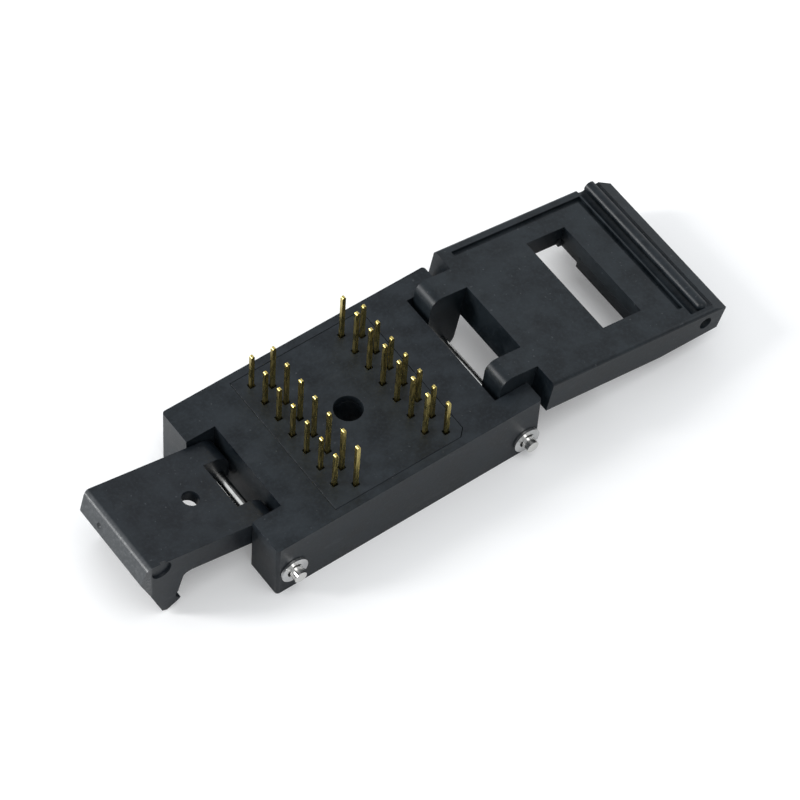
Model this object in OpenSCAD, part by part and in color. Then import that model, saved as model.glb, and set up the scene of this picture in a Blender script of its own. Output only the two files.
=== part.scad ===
// Clamshell test socket for a gull-wing small-outline package.
// The board face is at z = 0 with the solder tails toward +Z, the latch hinge is
// toward -X and the cover hinge toward +X. It is drawn open, with the cover and
// the latch folded back beside the housing. All sizes are in millimetres.

/* [Leads] */
// Leads on each long side of the package
leads_per_side = 14; // [6:2:18]
// Distance between neighbouring leads
lead_pitch = 1.27; // [1.2:0.01:1.5]
// Distance from the centre plane to the contact tips
contact_row = 4.7; // [4.6:0.01:4.8]
// Distance from the centre plane to the inner row of solder tails
tail_row_inner = 4.97; // [4.8:0.01:5.2]
// Distance from the centre plane to the outer row of solder tails
tail_row_outer = 6.81; // [6.5:0.01:6.9]
// Length of an inner solder tail above the board face
tail_length_inner = 6.9; // [3:0.1:9]
// Length of an outer solder tail above the board face
tail_length_outer = 5.35; // [3:0.05:9]

/* [Contacts] */
// Thickness of the sheet that the contacts are stamped from
blade_thickness = 0.4; // [0.3:0.02:0.5]
// Width of the tail and of the spring beam
blade_width = 0.46; // [0.36:0.02:0.5]
// Width of the contact head under the lead
head_width = 0.8; // [0.6:0.05:0.9]
// Height of the contact head
head_height = 0.9; // [0.6:0.05:1.1]
// Extra radius of the head's crown, past half its width
crown_extra = 0.1; // [0.02:0.02:0.3]
// Radius of the spring's bends, at the middle of the beam
spring_radius = 1.0; // [0.8:0.05:1.05]
// Distance from the centre plane to the centre of the outer bend
spring_centre = 7.0; // [6.95:0.01:7.2]
// Distance from the board face to the top of the free contact head
contact_height = 7.05; // [6.9:0.05:7.3]
// Clearance round a contact in its slot
slot_clearance = 0.12; // [0.08:0.01:0.15]

/* [Housing] */
// Height of the housing from the board face to the package side
base_height = 8.1; // [7.9:0.1:9]
// Distance from the centre hole to the latch end of the housing
latch_end = 16.66; // [16:0.01:19]
// Distance from the centre hole to the cover end of the housing
cover_end = 17.77; // [17:0.01:20]
// Distance from the last lead to the housing's side face
end_margin = 2.495; // [2.4:0.005:3.5]
// Depth of the latch bay from the end face
latch_bay_depth = 3.65; // [3.6:0.05:4.5]
// Depth of the cover bay from the end face
cover_bay_depth = 4.26; // [4.2:0.02:5]
// Side clearance of the latch and of the cover's arms in their bays
bay_clearance = 0.15; // [0.1:0.01:0.3]
// Radius of the housing's upright edges
housing_edge_radius = 0.4; // [0.2:0.05:0.8]
// Diameter of the hole through the middle of the housing
centre_hole_diameter = 3.3; // [2:0.1:4]
// Chamfer along the package side of the latch bay
bay_chamfer = 0.4; // [0.2:0.05:0.6]

/* [Contact retainer] */
// Thickness of the plate that closes the contact slots on the board face
retainer_thickness = 1.2; // [0.8:0.05:1.5]
// Width of the housing's ledge round the contact slots, under the plate's rim
retainer_lip = 0.22; // [0.15:0.01:0.3]
// Gap between the retainer's edge and its pocket
retainer_clearance = 0.05; // [0.03:0.01:0.1]
// Chamfer of the retainer's two corners on the cover side
retainer_chamfer = 0.9; // [0.4:0.1:1]
// Distance from the last lead to the retainer's end
retainer_end = 1.45; // [1.3:0.05:1.6]
// Clearance round a solder tail in the retainer
tail_clearance = 0.13; // [0.1:0.01:0.2]

/* [Package nest] */
// Distance over the tips of the package's leads
lead_span = 10.3; // [10:0.1:10.5]
// Distance from the last lead to the end of the package body
package_end = 0.7; // [0.5:0.05:0.9]
// Thickness of a package lead
lead_thickness = 0.25; // [0.2:0.01:0.3]
// Clearance round the package in the nest
nest_clearance = 0.25; // [0.15:0.05:0.3]
// Height of the contact head above the nest floor
head_proud = 0.1; // [0.05:0.01:0.2]
// Height of the package seat above the nest floor
seat_rise = 0.2; // [0.1:0.02:0.3]
// Half width of the package seat
seat_half = 3.4; // [3:0.1:3.6]

/* [Hinges] */
// Diameter of the hinge pins
pin_diameter = 1.5; // [1.2:0.05:1.6]
// Radial running clearance of the pins
pin_clearance = 0.04; // [0.02:0.01:0.08]
// Distance from the latch pin's axis to the latch end face
latch_axis_inset = 2.06; // [2:0.01:2.1]
// Distance from the latch pin's axis to the board face
latch_axis_depth = 4.71; // [4.6:0.01:4.9]
// Distance from the cover pin's axis to the cover end face
cover_axis_inset = 1.8; // [1.75:0.01:1.9]
// Distance from the cover pin's axis to the board face
cover_axis_depth = 5.82; // [5.7:0.01:5.85]
// Outer diameter of the retaining rings
ring_diameter = 3.3; // [2.8:0.1:3.6]
// Thickness of the retaining rings
ring_thickness = 0.3; // [0.2:0.02:0.4]
// Diameter of the ring grooves
groove_diameter = 1.1; // [0.9:0.05:1.15]
// Width of a retaining ring's mouth
ring_mouth = 1.0; // [0.8:0.05:1.1]
// Gap between a ring's band and the pin
ring_waist = 0.2; // [0.15:0.01:0.3]
// Direction that the rings' mouths face, from +X toward +Z
ring_turn = -50; // [-180:5:180]
// End play between a ring and the housing
ring_play = 0.06; // [0.03:0.01:0.15]
// Length of the pin's end outside the ring
pin_stub = 1.05; // [0.6:0.05:1.5]

/* [Cover] */
// Tilt of the open cover, free edge down
cover_tilt = 9.69; // [5:0.01:10.5]
// Height of the cover's outer face above the hinge axis
cover_face = 7.95; // [7.7:0.05:8.2]
// Distance that the cover's side faces stand out past the housing's
cover_overhang = 0.05; // [0:0.05:0.4]
// Distance from the axis to the cover's shoulders
cover_shoulder = 1.9; // [1.85:0.05:2.4]
// Thickness of the cover's plate
plate_thickness = 1.8; // [1.5:0.05:2]
// Width of the side walls
rim_width = 1.3; // [1:0.1:1.6]
// Depth of the side walls at the hinge end
rim_depth = 4.3; // [4:0.1:4.5]
// Depth of the end beam at the free edge
beam_depth = 3.4; // [3.1:0.1:3.9]
// Length of the end beam, from the free edge toward the hinge
beam_length = 4.7; // [4.6:0.05:5.2]
// Distance from the outer pusher bar's middle to the end beam
beam_margin = 1.08; // [0.9:0.02:1.3]
// Lean of the free edge's end face, from its top to its bottom
beam_draft = 0.45; // [0.2:0.05:0.6]
// Distance from the axis to where the side walls begin to taper
taper_start = 18; // [14:0.5:20]
// Clear width between the hinge arms
arm_gap = 9.7; // [9:0.1:10.4]
// Width of each hinge arm
arm_width = 3; // [2.6:0.1:3.4]
// Radius of the arms' knuckles
cover_knuckle_radius = 2.1; // [1.6:0.05:2.15]
// Reach of the arms' heels behind the axis
arm_heel = 2.75; // [2.3:0.05:3]
// Radius of the heel's outer corner
heel_corner_radius = 1.3; // [0.8:0.1:1.6]

/* [Cover openings] */
// Distance from the axis to the window
window_start = 11.81; // [11.8:0.01:12.2]
// Length of the window along the cover
window_length = 5.4; // [5:0.1:6]
// Width of the window across the cover
window_width = 13.8; // [12:0.1:14.4]
// Width of the groove in the outer face
groove_width = 0.7; // [0.4:0.05:0.8]
// Depth of the groove in the outer face
groove_depth = 0.45; // [0.2:0.05:0.6]
// Distance from the cover's far side face to the groove
groove_far_margin = 1.34; // [1.2:0.02:1.6]
// Distance from the cover's near side face to the end of the cross groove
groove_near_margin = 2.05; // [1.5:0.05:4]
// Distance from the axis to the groove's start
groove_start = 3.47; // [3:0.01:5]
// Distance from the free edge to the cross groove
groove_inset = 5.1; // [5.05:0.05:6]

/* [Cover catch] */
// Distance from the free edge to the catch bar
bar_inset = 2.45; // [2.35:0.01:2.5]
// Radius of the catch bar's crest
bar_radius = 0.69; // [0.65:0.01:0.72]
// Height of the catch bar above the outer face
bar_rise = 0.3; // [0.25:0.01:0.35]
// Distance from the bar's round near end to the cover's near side
bar_setback = 0.8; // [0.5:0.05:1.2]
// Radius of the hollow in front of the bar, where the tip of the hook goes
channel_radius = 1.05; // [1:0.01:1.08]
// Height of that hollow's centre above the outer face
channel_rise = 0.2; // [0.15:0.01:0.22]
// Distance from the catch bar to that hollow's centre
channel_offset = 1.05; // [1.02:0.01:1.1]
// Radius of the fine hollow behind the bar
valley_radius = 0.4; // [0.3:0.05:0.45]
// Height of the fine hollow's centre above the outer face
valley_rise = 0.1; // [0.05:0.01:0.15]
// Distance from the free edge to the strike pin
strike_inset = 2.6; // [2.45:0.01:2.65]
// Depth of the strike pin's axis below the outer face
strike_depth = 1.7; // [1.65:0.01:1.9]
// Distance of the strike pin's ends from the cover's side faces
strike_recess = 0.6; // [0.3:0.05:1]
// Length of the slope at the free edge
edge_slope_length = 1.6; // [1:0.05:1.7]
// Depth of the slope at the free edge
edge_slope_depth = 0.35; // [0.2:0.05:1]
// Length of the cut across the far free corner, along the cover
corner_cut_length = 1.9; // [1:0.1:2.2]
// Width of that cut
corner_cut_width = 0.85; // [0.4:0.05:1.2]
// Radius of the cover's two long outer edges
cover_edge_radius = 0.4; // [0.2:0.05:0.5]

/* [Pressure pad] */
// Thickness of the pad's frame
pad_thickness = 1.5; // [1.2:0.05:1.6]
// Gap round the pad inside the cover
pad_clearance = 0.05; // [0.02:0.01:0.1]
// Thickness of the pusher bars
pusher_thickness = 1.0; // [0.8:0.05:1.05]
// Distance that the pusher bars reach past the last lead
pusher_end = 0.4; // [0.3:0.05:0.6]
// Width of the wall left round the pad's window, past the cover's window
pad_window_margin = 0.4; // [0.2:0.05:0.5]
// Length of the notch in the far end of the pad's window
pad_notch_length = 3.2; // [2:0.1:4]
// Depth of that notch, toward the free edge
pad_notch_depth = 0.5; // [0.2:0.05:0.6]

/* [Latch] */
// Tilt of the open latch, free edge up
latch_tilt = 12.23; // [8:0.01:14]
// Height of the latch's outer face above the hinge axis
latch_face = 3.34; // [3.2:0.02:3.5]
// Width of the latch
latch_width = 11.9; // [11:0.1:12.4]
// Radius of the latch's knuckles
latch_knuckle_radius = 1.45; // [1.2:0.05:1.48]
// Radius of the heel above the knuckles
latch_heel_radius = 2.45; // [2.2:0.05:2.5]
// Distance from the axis to the heel's centre
latch_heel_centre = 1.2; // [1.15:0.05:1.4]
// Width of the gap between the knuckles
knuckle_gap = 6.3; // [5.5:0.1:7]
// Distance from the axis to the end of that gap
knuckle_gap_end = 2.7; // [2.3:0.1:3.2]
// Diameter of the hole through the latch
latch_hole_diameter = 2.0; // [1.5:0.1:2.5]
// Distance from the axis to the hole
latch_hole_centre = 6.5; // [5.5:0.1:8]
// Radius of the edge between the outer face and the end face
nose_radius = 0.8; // [0.4:0.1:1]
// Distance that the end face bulges out below that edge
nose_bulge = 0.35; // [0.1:0.05:0.5]
// Height of the bulge below the outer face
nose_bulge_depth = 2.3; // [1.6:0.1:2.6]
// Radius of the shallow round recess in the near side of the latch
side_recess_radius = 1.2; // [0.8:0.05:1.3]
// Distance from the free edge to the recess's centre
side_recess_inset = 2.1; // [2.1:0.1:2.4]
// Distance from the outer face to the recess's centre
side_recess_drop = 1.15; // [0.9:0.05:1.3]
// Depth of that recess
side_recess_depth = 0.3; // [0.15:0.05:0.5]
// Radius of the rounded far corner at the latch's free edge
latch_corner_radius = 1.0; // [0.5:0.1:1.5]
// Thickness of the finger plate over the pocket in its inner face
finger_thickness = 1.5; // [1.2:0.1:1.8]
// Width of the walls left beside that pocket
finger_rib = 1.6; // [1.2:0.1:2]
// Distance from the axis to the pocket
finger_pocket_start = 4.2; // [3.8:0.1:4.8]
// Length of the pocket along the latch
finger_pocket_length = 4.6; // [4:0.1:5]

/* [Latch hook] */
// Inward lean of the closed latch past upright
latch_lean = 18.5; // [17.5:0.5:19.5]
// Clearance between the hook and the catch bar
hook_clearance = 0.08; // [0.05:0.01:0.12]
// Distance from the catch bar's axis to the latch's free edge
hook_back = 5.89; // [5.6:0.01:6.2]
// Thickness of the hook behind the bar, above the foot
hook_neck = 4.5; // [4:0.1:4.8]
// Rise of the end face's break above the bar's axis
hook_break = 1.9; // [1.5:0.1:2.2]
// Fillet between the latch's plate and the hook
hook_fillet = 0.5; // [0.3:0.05:0.6]
// Distance from the bar's axis to the hook's inner face
hook_throat = 0.6; // [0.5:0.05:0.7]
// Width of the hook's foot
foot_width = 2.1; // [1.9:0.05:2.3]
// Distance from the bar's axis down to the foot
foot_drop = 2.13; // [2:0.01:2.2]
// Chamfer between the foot and the tip
tip_chamfer = 1.3; // [1.1:0.05:1.4]
// Distance from the bar's axis down to the tip
tip_drop = 1.04; // [0.95:0.01:1.1]

/* [Hidden] */
$fn = 64;
cut_margin = 1;
face_gap = 0.02;

row_half = (leads_per_side - 1) / 2 * lead_pitch;
side_half = row_half + end_margin;

// Hinge axes
latch_axis_x = -latch_end + latch_axis_inset;
latch_axis_z = -latch_axis_depth;
cover_axis_x = cover_end - cover_axis_inset;
cover_axis_z = -cover_axis_depth;
pin_radius = pin_diameter / 2;
pin_bore_radius = pin_radius + pin_clearance;
ring_plane = side_half + ring_play;
pin_half = ring_plane + ring_thickness + pin_stub;
// The rings' lobes, one on each side of the mouth and one opposite it
lobe_turns = [65, 180, 295];

// Bays
latch_bay_half = latch_width / 2 + bay_clearance;
arm_outer = arm_gap / 2 + arm_width;
cover_bay_half = arm_outer + bay_clearance;

// Contacts: the foot lies on the retainer, the spring folds back over it
foot_z = -retainer_thickness - face_gap - blade_width / 2;
arm_z = foot_z - 2 * spring_radius;
spring_outer = spring_centre + spring_radius + blade_width / 2;
foot_inner = contact_row - head_width / 2;
slot_inner = contact_row - head_width / 2 - slot_clearance;
slot_outer = spring_outer + slot_clearance;
slot_width = blade_thickness + 2 * slot_clearance;
chamber_depth = -arm_z + spring_radius + blade_width;
tip_slot_outer = contact_row + head_width / 2 + slot_clearance;

// Retainer and nest
retainer_half_x = slot_outer + retainer_lip;
retainer_half_y = row_half + retainer_end;
nest_half_x = lead_span / 2 + nest_clearance;
nest_half_y = row_half + package_end + nest_clearance;
nest_floor = -contact_height + head_proud;

// Cover, measured from its hinge axis
cover_half = side_half + cover_overhang;
cover_width = 2 * cover_half;
beam_start = cover_axis_x + contact_row + beam_margin;
cover_length = beam_start + beam_length;
bar_centre = cover_length - bar_inset;
strike_centre = cover_length - strike_inset;
groove_side = cover_half - groove_far_margin;
groove_near = cover_half - groove_near_margin;
groove_end = cover_length - groove_inset;
window_stop = window_start + window_length;
plate_inside = cover_face - plate_thickness;
pusher_tip = cover_axis_z + contact_height + lead_thickness;
bar_height = cover_face - bar_radius + bar_rise;
bar_start = -cover_half + bar_setback;

// Catch bar's place in the closed latch's own frame
bar_from_latch_x = cover_axis_x - bar_centre - latch_axis_x;
bar_from_latch_z = cover_axis_z - bar_height - latch_axis_z;
hook_u = bar_from_latch_x * sin(latch_lean) - bar_from_latch_z * cos(latch_lean);
hook_w = -bar_from_latch_x * cos(latch_lean) - bar_from_latch_z * sin(latch_lean);
hook_radius = bar_radius + hook_clearance;
latch_length = hook_u + hook_back;

function lead_y(i) = row_half - (i - 1) * lead_pitch;
// Tails alternate between the two rows, the latch side starting with the outer one
function outer_tail(side, i) = side < 0 ? i % 2 == 1 : i % 2 == 0;
function tail_row(side, i) = outer_tail(side, i) ? tail_row_outer : tail_row_inner;
function tail_length(side, i) = outer_tail(side, i) ? tail_length_outer : tail_length_inner;

// A box from one corner to the opposite one
module span(from, to) {
    translate(from) cube(to - from);
}

// A profile drawn as [along X, along Z], made a slab centred on y = 0
module slab(width) {
    rotate([90, 0, 0]) linear_extrude(width, center = true) children();
}

// A rod along Y, centred on y = 0
module rod(radius, length) {
    rotate([90, 0, 0]) cylinder(r = radius, h = length, center = true);
}

module at_cover_axis() {
    translate([cover_axis_x, 0, cover_axis_z]) rotate([0, cover_tilt, 0]) children();
}

// Inside it, X points from the axis to the latch's free edge
module at_latch_axis() {
    translate([latch_axis_x, 0, latch_axis_z]) rotate([0, latch_tilt, 0]) mirror([1, 0, 0]) children();
}

// ---------- Housing ----------

// A slot for one contact: the spring's chamber and the way up for the head
module contact_slot(side) {
    low = -slot_width / 2;
    mirror([side < 0 ? 1 : 0, 0, 0]) {
        span([slot_inner, low, -chamber_depth], [slot_outer, -low, 0]);
        span([slot_inner, low, -base_height - cut_margin], [tip_slot_outer, -low, 0]);
    }
}

module housing_outline() {
    r = housing_edge_radius;
    translate([-latch_end, -side_half + r]) square([latch_end + cover_end, 2 * (side_half - r)]);
    translate([-latch_end + r, -side_half]) square([latch_end + cover_end - 2 * r, 2 * side_half]);
    for (x = [-latch_end + r, cover_end - r], y = [-side_half + r, side_half - r])
        translate([x, y]) circle(r);
}

// The retainer's outline, grown by a gap for its pocket
module retainer_outline(grow) {
    x = retainer_half_x + grow;
    y = retainer_half_y + grow;
    c = retainer_chamfer;
    polygon([[-x, -y], [x - c, -y], [x, -y + c], [x, y - c], [x - c, y], [-x, y]]);
}

module base_housing() {
    color("#2b2d31")
    difference() {
        translate([0, 0, -base_height]) linear_extrude(base_height) housing_outline();
        // Latch bay, with the edge that the closed latch leans over broken
        span([-latch_end - cut_margin, -latch_bay_half, -base_height - cut_margin],
             [-latch_end + latch_bay_depth, latch_bay_half, cut_margin]);
        translate([-latch_end + latch_bay_depth, 0, -base_height])
            slab(2 * latch_bay_half) polygon([
                [-bay_chamfer, -bay_chamfer],
                [bay_chamfer, -bay_chamfer],
                [-bay_chamfer, bay_chamfer]
            ]);
        // Cover bay
        span([cover_end - cover_bay_depth, -cover_bay_half, -base_height - cut_margin],
             [cover_end + cut_margin, cover_bay_half, cut_margin]);
        // Hinge bores through the four lugs
        translate([latch_axis_x, 0, latch_axis_z]) rod(pin_bore_radius, 2 * side_half + cut_margin);
        translate([cover_axis_x, 0, cover_axis_z]) rod(pin_bore_radius, 2 * side_half + cut_margin);
        // Pocket for the retainer, and the contact slots below it
        translate([0, 0, -retainer_thickness]) linear_extrude(retainer_thickness + cut_margin)
            retainer_outline(retainer_clearance);
        for (side = [-1, 1], i = [1:leads_per_side])
            translate([0, lead_y(i), 0]) contact_slot(side);
        // Package nest with a raised seat
        difference() {
            span([-nest_half_x, -nest_half_y, -base_height - cut_margin],
                 [nest_half_x, nest_half_y, nest_floor]);
            span([-seat_half, -nest_half_y - cut_margin, nest_floor - seat_rise],
                 [seat_half, nest_half_y + cut_margin, nest_floor + cut_margin]);
        }
        // Centre hole
        translate([0, 0, -base_height]) cylinder(d = centre_hole_diameter, h = base_height + cut_margin);
    }
}

module contact_retainer() {
    hole_x = blade_width + 2 * tail_clearance;
    hole_y = blade_thickness + 2 * tail_clearance;
    color("#303237")
    difference() {
        translate([0, 0, -retainer_thickness]) linear_extrude(retainer_thickness) retainer_outline(0);
        for (side = [-1, 1], i = [1:leads_per_side])
            translate([side * tail_row(side, i), lead_y(i), 0])
                cube([hole_x, hole_y, 4 * retainer_thickness], center = true);
        translate([0, 0, -retainer_thickness - cut_margin])
            cylinder(d = centre_hole_diameter, h = retainer_thickness + 2 * cut_margin);
    }
}

// ---------- Contacts ----------

// Part of a bent beam: the arc of the given radius inside a box
module bend(centre, from, to) {
    intersection() {
        translate(centre) difference() {
            circle(spring_radius + blade_width / 2);
            circle(spring_radius - blade_width / 2);
        }
        translate(from) square(to - from);
    }
}

// Side view of a contact: solder tail, foot, outer bend, arm, inner bend, upright and head
module contact_profile(row, length) {
    half = blade_width / 2;
    reach = spring_radius + half;
    inner_bend = [contact_row + spring_radius, arm_z - spring_radius];
    head_top = -contact_height;
    crown_radius = head_width / 2 + crown_extra;
    translate([row - half, foot_z]) square([blade_width, length - foot_z - half]);
    translate([row, length - half]) circle(half);
    translate([foot_inner, foot_z - half]) square([spring_centre - foot_inner, blade_width]);
    bend([spring_centre, foot_z - spring_radius],
         [spring_centre, foot_z - spring_radius - reach],
         [spring_centre + reach, foot_z - spring_radius + reach]);
    translate([inner_bend[0], arm_z - half]) square([spring_centre - inner_bend[0], blade_width]);
    bend(inner_bend, [inner_bend[0] - reach, inner_bend[1]], [inner_bend[0], inner_bend[1] + reach]);
    translate([contact_row - half, head_top + head_height / 2])
        square([blade_width, inner_bend[1] - head_top - head_height / 2]);
    // Head with a round crown
    intersection() {
        translate([contact_row, head_top + crown_radius]) circle(crown_radius);
        translate([contact_row - head_width / 2, head_top]) square([head_width, head_height]);
    }
}

module contact(side, i) {
    color("#c9a648")
    translate([0, lead_y(i), 0]) mirror([side < 0 ? 1 : 0, 0, 0])
        slab(blade_thickness) contact_profile(tail_row(side, i), tail_length(side, i));
}

// ---------- Hinge pins and retaining rings ----------

module hinge_pin() {
    color("#c8cacd")
    difference() {
        rod(pin_radius, 2 * pin_half);
        for (side = [-1, 1])
            translate([0, side * (ring_plane + ring_thickness / 2), 0]) difference() {
                rod(pin_radius + cut_margin, ring_thickness + face_gap);
                rod(groove_diameter / 2, ring_thickness + 2 * cut_margin);
            }
    }
}

module latch_pin() {
    translate([latch_axis_x, 0, latch_axis_z]) hinge_pin();
}

module cover_pin() {
    translate([cover_axis_x, 0, cover_axis_z]) hinge_pin();
}

// Flat ring with an open mouth and three lobes that seat in the pin's groove
module retaining_ring(axis_x, axis_z, side) {
    seat = groove_diameter / 2 + face_gap / 2;
    outer = ring_diameter / 2;
    waist = pin_radius + ring_waist;
    color("#d5d7da")
    translate([axis_x, side * (ring_plane + ring_thickness / 2), axis_z])
    rotate([0, -ring_turn, 0])
    slab(ring_thickness)
        difference() {
            circle(outer);
            difference() {
                circle(waist);
                for (turn = lobe_turns)
                    rotate(turn) translate([seat, -seat / 2]) square([waist, seat]);
            }
            circle(seat);
            translate([0, -ring_mouth / 2]) square([outer + cut_margin, ring_mouth]);
        }
}

// ---------- Cover ----------

// Side walls: deep at the hinge, tapering toward the free edge
module rim_profile() {
    polygon([
        [cover_shoulder, cover_face],
        [cover_shoulder, cover_face - rim_depth],
        [taper_start, cover_face - rim_depth],
        [cover_length - beam_draft, cover_face - beam_depth],
        [cover_length, cover_face - edge_slope_depth],
        [cover_length - edge_slope_length, cover_face]
    ]);
}

// The cover's cross-section above the axis, drawn as [along Y, along Z]
module cover_section() {
    r = cover_edge_radius;
    translate([-cover_half, 0]) square([cover_width, cover_face - r]);
    translate([-cover_half + r, 0]) square([cover_width - 2 * r, cover_face]);
    for (side = [-1, 1])
        translate([side * (cover_half - r), cover_face - r]) circle(r);
}

// A rod along the catch bar, from the bar's near end out through the far side
module along_bar(x, z, radius) {
    translate([x, bar_start, z]) rotate([-90, 0, 0]) cylinder(r = radius, h = cover_width);
}

// The bar that the hook grips, with a round near end
module catch_bar() {
    length = cover_width - bar_setback - bar_radius;
    translate([bar_centre, bar_start + bar_radius, bar_height]) {
        sphere(bar_radius);
        rotate([-90, 0, 0]) cylinder(r = bar_radius, h = length);
    }
}

// A hinge arm: knuckle, heel and the web that joins the cover
module arm_profile() {
    inside = cover_face - rim_depth;
    heel_top = cover_face - heel_corner_radius;
    circle(cover_knuckle_radius);
    polygon([
        [-cover_knuckle_radius, 0],
        [cover_knuckle_radius, 0],
        [cover_knuckle_radius, inside],
        [cover_shoulder + rim_width, inside],
        [cover_shoulder + rim_width, cover_face],
        [-arm_heel + heel_corner_radius, cover_face],
        [-arm_heel + heel_corner_radius, heel_top],
        [-arm_heel, heel_top]
    ]);
    translate([-arm_heel + heel_corner_radius, heel_top]) circle(heel_corner_radius);
}

module cover_window() {
    span([window_start, -window_width / 2, pusher_tip],
         [window_stop, window_width / 2, cover_face + cut_margin]);
}

module cover() {
    color("#34363b")
    at_cover_axis() difference() {
        union() {
            difference() {
                intersection() {
                    slab(cover_width) rim_profile();
                    rotate([90, 0, 90]) linear_extrude(cover_length) cover_section();
                }
                // Hollow for the pressure pad
                span([cover_shoulder + rim_width, -cover_half + rim_width, 0],
                     [beam_start, cover_half - rim_width, plate_inside]);
                // Hollows in front of the catch bar and behind it
                along_bar(bar_centre - channel_offset, cover_face + channel_rise, channel_radius);
                along_bar(bar_centre + bar_radius, cover_face + valley_rise, valley_radius);
            }
            for (side = [-1, 1])
                translate([0, side * (arm_gap + arm_width) / 2, 0]) slab(arm_width) arm_profile();
            catch_bar();
        }
        cover_window();
        rod(pin_bore_radius, 2 * arm_outer + cut_margin);
        translate([strike_centre, 0, cover_face - strike_depth])
            rod(pin_bore_radius, cover_width + cut_margin);
        // Groove along the far side and across the cover
        span([groove_start, groove_side - groove_width / 2, cover_face - groove_depth],
             [groove_end + groove_width / 2, groove_side + groove_width / 2, cover_face + cut_margin]);
        span([groove_end - groove_width / 2, -groove_near, cover_face - groove_depth],
             [groove_end + groove_width / 2, groove_side, cover_face + cut_margin]);
        // Cut far corner at the free edge
        translate([cover_length, cover_half, 0]) linear_extrude(cover_face + cut_margin) polygon([
            [-corner_cut_length, 0],
            [0, -corner_cut_width],
            [cut_margin, -corner_cut_width],
            [cut_margin, cut_margin],
            [-corner_cut_length, cut_margin]
        ]);
    }
}

module pressure_pad() {
    start = cover_shoulder + rim_width + pad_clearance;
    stop = beam_start - pad_clearance;
    half = cover_half - rim_width - pad_clearance;
    top = plate_inside - face_gap;
    color("#2d2f34")
    at_cover_axis() difference() {
        union() {
            span([start, -half, top - pad_thickness], [stop, half, top]);
            // One pusher bar over each row of leads when the cover is closed
            for (side = [-1, 1])
                translate([cover_axis_x + side * contact_row, 0, 0])
                    span([-pusher_thickness / 2, -row_half - pusher_end, pusher_tip],
                         [pusher_thickness / 2, row_half + pusher_end, top - pad_thickness / 2]);
        }
        span([window_start, -window_width / 2 - pad_window_margin, pusher_tip - cut_margin],
             [window_stop, window_width / 2 + pad_window_margin, cover_face]);
        span([window_start, window_width / 2 - pad_notch_length, pusher_tip - cut_margin],
             [window_stop + pad_notch_depth, window_width / 2, cover_face]);
    }
}

module strike_pin() {
    color("#c8cacd")
    at_cover_axis() translate([strike_centre, 0, cover_face - strike_depth])
        rod(pin_radius, cover_width - 2 * strike_recess);
}

// ---------- Latch ----------

// Side view of the latch: knuckle, heel, finger plate and hook
module latch_profile() {
    heel_z = latch_face - latch_heel_radius;
    heel_back = latch_heel_centre - latch_heel_radius;
    difference() {
        union() {
            circle(latch_knuckle_radius);
            translate([heel_back, 0]) square([latch_length / 2, heel_z]);
            intersection() {
                translate([latch_heel_centre, heel_z]) circle(latch_heel_radius);
                translate([heel_back, 0]) square([latch_heel_radius, latch_face]);
            }
            translate([latch_heel_centre, 0])
                square([latch_length - nose_radius - latch_heel_centre, latch_face]);
            translate([latch_length - nose_radius, latch_face - nose_radius]) circle(nose_radius);
            polygon([
                [hook_u - hook_fillet, 0],
                [hook_u + hook_throat - hook_fillet, -hook_fillet / 3],
                [hook_u + hook_throat - hook_fillet / 3, -hook_fillet],
                [hook_u + hook_throat, hook_w + hook_throat],
                [hook_u, hook_w],
                [hook_u, hook_w - hook_radius],
                [hook_u + hook_clearance, hook_w - tip_drop],
                [hook_u + foot_width - tip_chamfer / 2, hook_w - foot_drop],
                [hook_u + foot_width, hook_w - foot_drop + tip_chamfer / 8],
                [hook_u + hook_neck, hook_w + hook_break],
                [latch_length + nose_bulge, latch_face - nose_bulge_depth],
                [latch_length, latch_face - nose_radius]
            ]);
        }
        translate([hook_u, hook_w]) circle(hook_radius);
    }
}

module latch() {
    corner = latch_corner_radius;
    finger_pocket_half = latch_width / 2 - finger_rib;
    color("#303237")
    at_latch_axis() difference() {
        slab(latch_width) latch_profile();
        rod(pin_bore_radius, latch_width + cut_margin);
        span([-latch_heel_radius - cut_margin, -knuckle_gap / 2, -latch_face],
             [knuckle_gap_end, knuckle_gap / 2, latch_face + cut_margin]);
        translate([latch_hole_centre, 0, -cut_margin])
            cylinder(d = latch_hole_diameter, h = latch_face + 2 * cut_margin);
        // Pocket in the inner face, under the hole
        span([finger_pocket_start, -finger_pocket_half, -cut_margin],
             [finger_pocket_start + finger_pocket_length, finger_pocket_half, latch_face - finger_thickness]);
        // Shallow round recess in the near side
        translate([latch_length - side_recess_inset, -latch_width / 2, latch_face - side_recess_drop])
            rod(side_recess_radius, 2 * side_recess_depth);
        // Round far corner at the free edge
        translate([latch_length + nose_bulge - corner, latch_width / 2 - corner, -latch_length / 2])
            difference() {
                cube([2 * corner, 2 * corner, latch_length]);
                cylinder(r = corner, h = latch_length);
            }
    }
}

base_housing();
contact_retainer();
latch_pin();
cover_pin();
retaining_ring(latch_axis_x, latch_axis_z, -1);  // latch_ring_near
retaining_ring(latch_axis_x, latch_axis_z, 1);  // latch_ring_far
retaining_ring(cover_axis_x, cover_axis_z, -1);  // cover_ring_near
retaining_ring(cover_axis_x, cover_axis_z, 1);  // cover_ring_far
cover();
pressure_pad();
strike_pin();
latch();
for (i = [1:leads_per_side]) contact(-1, i);
for (i = [1:leads_per_side]) contact(1, i);
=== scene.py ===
import math

import bpy
from mathutils import Matrix, Vector


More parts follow.
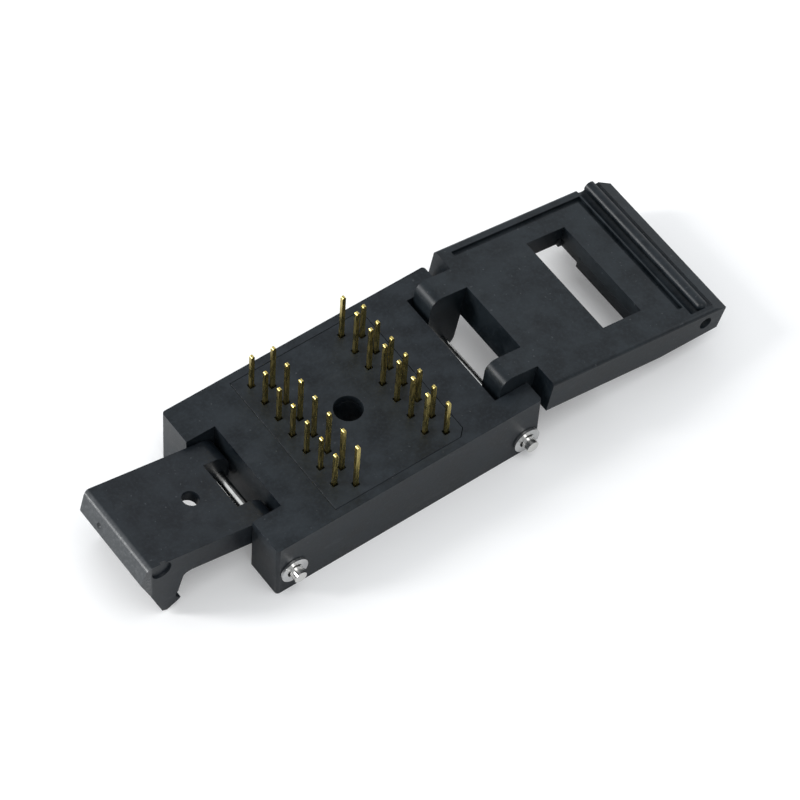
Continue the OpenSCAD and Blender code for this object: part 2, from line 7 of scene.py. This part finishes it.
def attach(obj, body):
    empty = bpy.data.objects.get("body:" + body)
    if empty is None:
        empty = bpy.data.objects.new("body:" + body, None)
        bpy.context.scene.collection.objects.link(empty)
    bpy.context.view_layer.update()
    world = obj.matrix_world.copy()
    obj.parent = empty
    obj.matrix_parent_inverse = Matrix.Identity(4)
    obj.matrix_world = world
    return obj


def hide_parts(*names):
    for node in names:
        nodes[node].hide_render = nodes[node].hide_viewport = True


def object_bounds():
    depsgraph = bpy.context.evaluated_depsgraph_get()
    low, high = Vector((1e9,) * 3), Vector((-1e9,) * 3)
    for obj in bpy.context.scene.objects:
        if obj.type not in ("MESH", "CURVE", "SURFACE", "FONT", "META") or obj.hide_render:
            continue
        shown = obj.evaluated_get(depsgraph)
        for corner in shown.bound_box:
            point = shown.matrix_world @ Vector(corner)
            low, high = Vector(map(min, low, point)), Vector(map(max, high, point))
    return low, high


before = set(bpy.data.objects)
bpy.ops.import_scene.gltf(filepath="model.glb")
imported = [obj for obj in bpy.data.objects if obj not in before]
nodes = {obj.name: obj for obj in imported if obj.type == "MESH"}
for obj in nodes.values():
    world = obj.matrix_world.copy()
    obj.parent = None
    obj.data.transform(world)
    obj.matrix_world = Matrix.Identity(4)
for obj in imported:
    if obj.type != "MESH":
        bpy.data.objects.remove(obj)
cad_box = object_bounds()


# ---------------------------------------------------------------- view
# The camera looks down on the board face from the near latch corner. The socket
# stands upside down, so the tails point up and the hinged parts lie open.
mm = 0.001
view_azimuth = math.radians(-39.603)
view_elevation = math.radians(54.892)
view_roll = math.radians(4.368)
view_distance = 424.28 * mm
view_target = Vector((5.176, -2.214, 0)) * mm
view_lens = 179.34

back = Vector((
    math.sin(view_azimuth) * math.cos(view_elevation),
    -math.cos(view_azimuth) * math.cos(view_elevation),
    math.sin(view_elevation),
))
level_right = Vector((math.cos(view_azimuth), math.sin(view_azimuth), 0))
level_up = back.cross(level_right)
right = math.cos(view_roll) * level_right + math.sin(view_roll) * level_up
up = math.cos(view_roll) * level_up - math.sin(view_roll) * level_right
eye = view_target + back * view_distance

camera_data = bpy.data.cameras.new("view")
camera_data.sensor_width = 36
camera_data.lens = view_lens
camera = bpy.data.objects.new("view", camera_data)
bpy.context.scene.collection.objects.link(camera)
camera.matrix_world = Matrix((
    (right.x, up.x, back.x, eye.x),
    (right.y, up.y, back.y, eye.y),
    (right.z, up.z, back.z, eye.z),
    (0, 0, 0, 1),
))
camera_data.clip_start = 10 * mm
camera_data.clip_end = 10
bpy.context.scene.camera = camera


class Wire:
    """A socket in a material's tree. Arithmetic on it adds the nodes that do the sum."""

    def __init__(self, tree, socket=None):
        self.tree = tree
        self.socket = socket

    def add(self, kind, settings=None, inputs=None, out=0):
        """Adds a node, sets it up, joins or sets its inputs, and gives its output."""
        made = self.tree.nodes.new(kind)
        for name, value in (settings or {}).items():
            setattr(made, name, value)
        for key, value in (inputs or {}).items():
            if isinstance(value, Wire):
                self.tree.links.new(value.socket, made.inputs[key])
            else:
                made.inputs[key].default_value = value
        return Wire(self.tree, made.outputs[out])

    def sum(self, operation, first, second):
        return self.add("ShaderNodeMath", {"operation": operation}, {0: first, 1: second})

    def __add__(self, other):
        return self.sum("ADD", self, other)

    def __radd__(self, other):
        return self.sum("ADD", other, self)

    def __sub__(self, other):
        return self.sum("SUBTRACT", self, other)

    def __rsub__(self, other):
        return self.sum("SUBTRACT", other, self)

    def __mul__(self, other):
        return self.sum("MULTIPLY", self, other)

    def __rmul__(self, other):
        return self.sum("MULTIPLY", other, self)

    def above(self, low, high):
        """0 below low, 1 above high, smooth between."""
        return self.add(
            "ShaderNodeMapRange", {"interpolation_type": "SMOOTHSTEP"}, {0: self, 1: low, 2: high}
        )

    def noise(self, place, per_mm, detail=3.0, rough=0.5):
        """Noise with so many lumps a millimetre, on a place given in millimetres."""
        return self.add(
            "ShaderNodeTexNoise", {},
            {"Vector": place, "Scale": per_mm, "Detail": detail, "Roughness": rough},
        )

    def blend(self, factor, first, second):
        """A colour between two, by a factor."""
        return self.add(
            "ShaderNodeMix", {"data_type": "RGBA"}, {0: factor, 6: first, 7: second}, out=2
        )

    def millimetres(self, stretch=(1, 1, 1), shift=(0, 0, 0)):
        """The place on the piece in millimetres, stretched and shifted."""
        place = self.add("ShaderNodeTexCoord", out="Object")
        scale = [1000 * s for s in stretch]
        return self.add("ShaderNodeMapping", {}, {0: place, 1: shift, 3: scale})

    def into(self, shader, name):
        """Joins it to a named socket of a shader."""
        self.tree.links.new(self.socket, shader.inputs[name])


def new_material(name):
    """A material, its Principled shader, and the start of its wiring."""
    made = bpy.data.materials.new(name)
    made.use_nodes = True
    return made, made.node_tree.nodes["Principled BSDF"], Wire(made.node_tree)


def moulded_plastic(name, dark, light, seed, worn_and_highlight_beyond=None):
    """Black glass-filled plastic: mottled skin, fine grain, rubbed patches and dust.

    Past the limit given in millimetres towards the latch's free end, the skin is painted a
    greyer tone and made glossier: partly wear from hands, partly a painted highlight.
    """
    made, shader, w = new_material(name)
    place = w.millimetres(shift=(seed, 0, 0))
    # A greyer tone: part wear, part painted highlight for the latch's bright end.
    worn_and_highlight_tone = (0.090, 0.095, 0.099, 1)
    dust_tone = (0.30, 0.31, 0.32, 1)
    mottle = w.noise(place, 0.28, 5.0, 0.6).above(0.35, 0.65)
    glass = w.noise(place, 2.6, 3.0, 0.6).above(0.4, 0.8)
    grain = w.noise(place, 12.0, 2.0)
    rubbed = w.noise(w.millimetres((0.35, 1.1, 1), (0, seed, 0)), 0.5, 5.0, 0.65).above(0.55, 0.8)
    dust = w.noise(place, 2.7, 0.0).above(0.80, 0.84)
    tint = w.blend(mottle, (*dark, 1), (*light, 1))
    tint = w.blend(0.5 * glass, tint, (*[1.5 * c for c in light], 1))
    tint = w.blend(0.08 * dust + 0.026 * rubbed, tint, dust_tone)
    gloss = 0.31 + 0.08 * mottle + 0.08 * grain - 0.08 * rubbed
    # Towards the latch's free end the tint goes greyer: real wear from hands and a painted
    # highlight.
    if worn_and_highlight_beyond is not None:
        along = w.add("ShaderNodeSeparateXYZ", {}, {0: w.millimetres()}, out="X")
        wear_and_painted_highlight = (worn_and_highlight_beyond - along).above(0.0, 0.35) * (0.55 + 0.45 * glass)
        tint = w.blend(wear_and_painted_highlight, tint, worn_and_highlight_tone)
        gloss = gloss - 0.14 * wear_and_painted_highlight
    tint.into(shader, "Base Color")
    shader.inputs["Specular IOR Level"].default_value = 0.26
    gloss.into(shader, "Roughness")
    height = 0.5 * grain + 0.3 * glass + 0.5 * mottle
    w.add(
        "ShaderNodeBump", {}, {"Strength": 0.35, "Distance": 0.02 * mm, "Height": height}
    ).into(shader, "Normal")
    return made


def pick(piece):
    """Makes a piece the only selected object and the active one."""
    bpy.ops.object.select_all(action="DESELECT")
    piece.select_set(True)
    bpy.context.view_layer.objects.active = piece


def moulding(node, body, material, edge, carve=None, whole_faces=True):
    """A copy of a CAD node with softened edges, which takes the node's place.

    edge is the width of the softened edge. carve cuts the copy before its edges are
    softened. whole_faces joins the triangles of each flat face, so that it shades flat.
    """
    corner = math.radians(35)
    smooth = math.radians(50)
    piece = bpy.data.objects.new(node + "_moulding", nodes[node].data.copy())
    bpy.context.scene.collection.objects.link(piece)
    pick(piece)
    bpy.ops.object.mode_set(mode="EDIT")
    bpy.ops.mesh.select_all(action="SELECT")
    bpy.ops.mesh.remove_doubles(threshold=0.001 * mm)
    bpy.ops.mesh.normals_make_consistent(inside=False)
    if whole_faces:
        bpy.ops.mesh.dissolve_limited(angle_limit=math.radians(0.3))
    bpy.ops.object.mode_set(mode="OBJECT")
    if carve is not None:
        carve(piece)
    soft = piece.modifiers.new("soft_edges", "BEVEL")
    soft.limit_method = "ANGLE"
    soft.angle_limit = corner
    soft.width = edge
    soft.segments = 2
    soft.use_clamp_overlap = True
    soft.loop_slide = False
    soft.face_strength_mode = "FSTR_ALL"
    bpy.ops.object.modifier_apply(modifier="soft_edges")
    bpy.ops.object.shade_smooth_by_angle(angle=smooth)
    flat = piece.modifiers.new("flat_faces", "WEIGHTED_NORMAL")
    flat.use_face_influence = True
    flat.keep_sharp = True
    bpy.ops.object.modifier_apply(modifier="flat_faces")
    piece.data.materials.clear()
    piece.data.materials.append(material)
    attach(piece, body)
    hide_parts(node)
    return piece


moulding(
    "base_housing", "housing",
    moulded_plastic("black_housing_plastic", (0.0036, 0.0060, 0.0086), (0.0128, 0.0172, 0.0216), 3),
    edge=0.09 * mm,
)


# ---------------------------------------------------------------- contacts
# Each contact is stamped and bent from beryllium copper sheet and plated with gold.
# The plating is streaked along the tails and a little tarnished.
def gold_plate():
    made, shader, w = new_material("gold_plate")
    streak = w.noise(w.millimetres((4, 4, 0.5)), 1.5, 3.0).above(0.3, 0.75)
    tarnish = w.noise(w.millimetres(), 0.8, 3.0).above(0.4, 0.8)
    tint = w.blend(streak, (0.46, 0.37, 0.11, 1), (0.74, 0.61, 0.22, 1))
    tint = w.blend(0.45 * tarnish, tint, (0.26, 0.19, 0.07, 1))
    tint.into(shader, "Base Color")
    (0.20 + 0.16 * streak + 0.12 * tarnish).into(shader, "Roughness")
    shader.inputs["Metallic"].default_value = 1.0
    return made


def wear(node, material):
    """Gives a CAD node its finish."""
    mesh = nodes[node].data
    mesh.materials.clear()
    mesh.materials.append(material)


contact_gold = gold_plate()
for name in nodes:
    if name.startswith("contact_latch_") or name.startswith("contact_cover_"):
        wear(name, contact_gold)


# ---------------------------------------------------------------- contact retainer
# The retainer is a plate of the same plastic, pressed into the board face once the
# contacts are in. It closes their slots and holds the tails in line.
moulding(
    "contact_retainer", "housing",
    moulded_plastic(
        "black_retainer_plastic", (0.0036, 0.0060, 0.0086), (0.0130, 0.0175, 0.0220), 11
    ),
    edge=0.05 * mm,
)


# ---------------------------------------------------------------- hinge pins
# The pins are ground steel rod, and the two hinge pins have a groove turned near each
# end. They stay bare, and carry faint turning marks round the axis. The third one is
# pressed into the cover's free edge.
def bare_steel(name, tint_low, tint_high, low_rough):
    made, shader, w = new_material(name)
    turned = w.noise(w.millimetres((0.3, 3, 0.3)), 1.0, 2.0).above(0.3, 0.7)
    smudge = w.noise(w.millimetres(), 0.7, 3.0).above(0.4, 0.75)
    w.blend(turned, (*tint_low, 1), (*tint_high, 1)).into(shader, "Base Color")
    (low_rough + 0.04 * turned + 0.10 * smudge).into(shader, "Roughness")
    shader.inputs["Metallic"].default_value = 1.0
    return made


pin_steel = bare_steel("ground_steel", (0.72, 0.71, 0.69), (0.86, 0.85, 0.82), 0.16)
for name in ("latch_pin", "cover_pin", "strike_pin"):
    wear(name, pin_steel)


# ---------------------------------------------------------------- retaining rings
# The rings are stamped from spring steel strip and snapped into the pin grooves, where
# they keep the hinge pins from working out of the housing.
ring_steel = bare_steel("spring_steel", (0.60, 0.60, 0.60), (0.78, 0.78, 0.77), 0.18)
for name in ("latch_ring_near", "latch_ring_far", "cover_ring_near", "cover_ring_far"):
    wear(name, ring_steel)


# ---------------------------------------------------------------- pressure pad
# The pad that presses the leads down is moulded in the same plastic and clips in
# under the cover. It shows only through the cover's window, and its tones are set
# darker than the other mouldings' as painted shade for its place under the cover.
# Its frame goes all round an opening, which joined faces would bridge, so its
# triangles are left as they are.
moulding(
    "pressure_pad", "cover",
    # Darker tones than the other mouldings: painted shade for the pad under the window.
    moulded_plastic("black_pad_plastic_painted_shade", (0.0036, 0.0054, 0.0076), (0.0076, 0.0104, 0.0134), 31),
    edge=0.06 * mm, whole_faces=False,
)


# ---------------------------------------------------------------- cover
# The cover is one moulding of the same plastic, with two arms that turn on the cover
# pin, a window, and the catch bar along its free edge.
moulding(
    "cover", "cover",
    moulded_plastic("black_cover_plastic", (0.0030, 0.0054, 0.0078), (0.0118, 0.0164, 0.0204), 23),
    edge=0.09 * mm,
)


# ---------------------------------------------------------------- latch
# The latch is one moulding with its hook, and turns on the latch pin. Its free end is
# painted greyer, partly as wear from fingers and partly as a painted highlight, and the gate has
# left a rough dimple in the end face.
def gate_dimple(latch):
    """Breaks a small rough dimple into the end face, where the gate was torn off."""
    radius = 0.42 * mm
    rise = 0.16 * mm
    outside = Vector((-50, 2.2, 0.5)) * mm
    found, spot, facing, _ = latch.ray_cast(outside, Vector((1, 0, 0)))
    if not found:
        raise RuntimeError("the latch has no end face there")
    bpy.ops.mesh.primitive_ico_sphere_add(
        subdivisions=2, radius=radius, location=spot + facing * rise
    )
    tool = bpy.context.object
    pick(latch)
    cut = latch.modifiers.new("dimple", "BOOLEAN")
    cut.operation = "DIFFERENCE"
    cut.solver = "EXACT"
    cut.object = tool
    bpy.ops.object.modifier_apply(modifier="dimple")
    bpy.data.objects.remove(tool, do_unlink=True)


moulding(
    "latch", "latch",
    moulded_plastic(
        "black_latch_plastic", (0.0032, 0.0052, 0.0080), (0.0110, 0.0148, 0.0190), 41,
        worn_and_highlight_beyond=-29.0,
    ),
    edge=0.10 * mm, carve=gate_dimple,
)


# ---------------------------------------------------------------- table and light
# A white table under the socket, in a room that is brighter behind it than in front.
# A broad lamp hangs over it, and a narrow one low on the latch side draws the bright
# line along the latch's nose.
lowest = cad_box[0].z
bpy.ops.object.select_all(action="DESELECT")
bpy.ops.mesh.primitive_plane_add(size=3, location=(0, 0, lowest))
table = bpy.context.object
table.name = "table"
bpy.ops.object.transform_apply(location=True)
made, shader, w = new_material("white_table")
shader.inputs["Base Color"].default_value = (0.84, 0.84, 0.84, 1)
shader.inputs["Roughness"].default_value = 0.8
shader.inputs["Emission Strength"].default_value = 0.17
seen = w.add("ShaderNodeLightPath", out="Is Camera Ray")
w.blend(seen, (0, 0, 0, 1), (1, 1, 1, 1)).into(shader, "Emission Color")
table.data.materials.append(made)

world = bpy.data.worlds.new("studio")
world.use_nodes = True
bpy.context.scene.world = world
w = Wire(world.node_tree)
seen = w.add("ShaderNodeLightPath", out="Is Camera Ray")
facing = w.add("ShaderNodeTexCoord", out="Generated")
straight_behind = (0.637, 0.770, 0)
daylight = (0.94, 0.97, 1.0, 1)
behind = w.add(
    "ShaderNodeVectorMath", {"operation": "DOT_PRODUCT"}, {0: facing, 1: straight_behind},
    out="Value",
).above(-0.6, 1.3)
front = w.add("ShaderNodeBackground", {}, {"Color": daylight, "Strength": 0.55})
rear = w.add("ShaderNodeBackground", {}, {"Color": daylight, "Strength": 1.12})
white = w.add("ShaderNodeBackground", {}, {"Color": (1, 1, 1, 1), "Strength": 1.0})
room = w.add("ShaderNodeMixShader", {}, {0: behind, 1: front, 2: rear})
room = w.add("ShaderNodeMixShader", {}, {0: seen, 1: room, 2: white})
room.into(world.node_tree.nodes["World Output"], "Surface")


def soft_lamp(name, place, width, height, watts):
    """An upright lamp that faces the socket."""
    data = bpy.data.lights.new(name, "AREA")
    data.shape = "RECTANGLE"
    data.size = width
    data.size_y = height
    data.energy = watts
    lamp = bpy.data.objects.new(name, data)
    lamp.location = place
    lamp.rotation_mode = "QUATERNION"
    lamp.rotation_quaternion = Vector(place).to_track_quat("Z", "Y")
    bpy.context.scene.collection.objects.link(lamp)


soft_lamp("lamp_above", place=(0.02, -0.30, 0.80), width=0.50, height=0.50, watts=1.8)
soft_lamp("lamp_side", place=(-0.72, 0.43, 0.40), width=0.16, height=0.46, watts=6.0)

bpy.context.scene.view_settings.view_transform = "Standard"
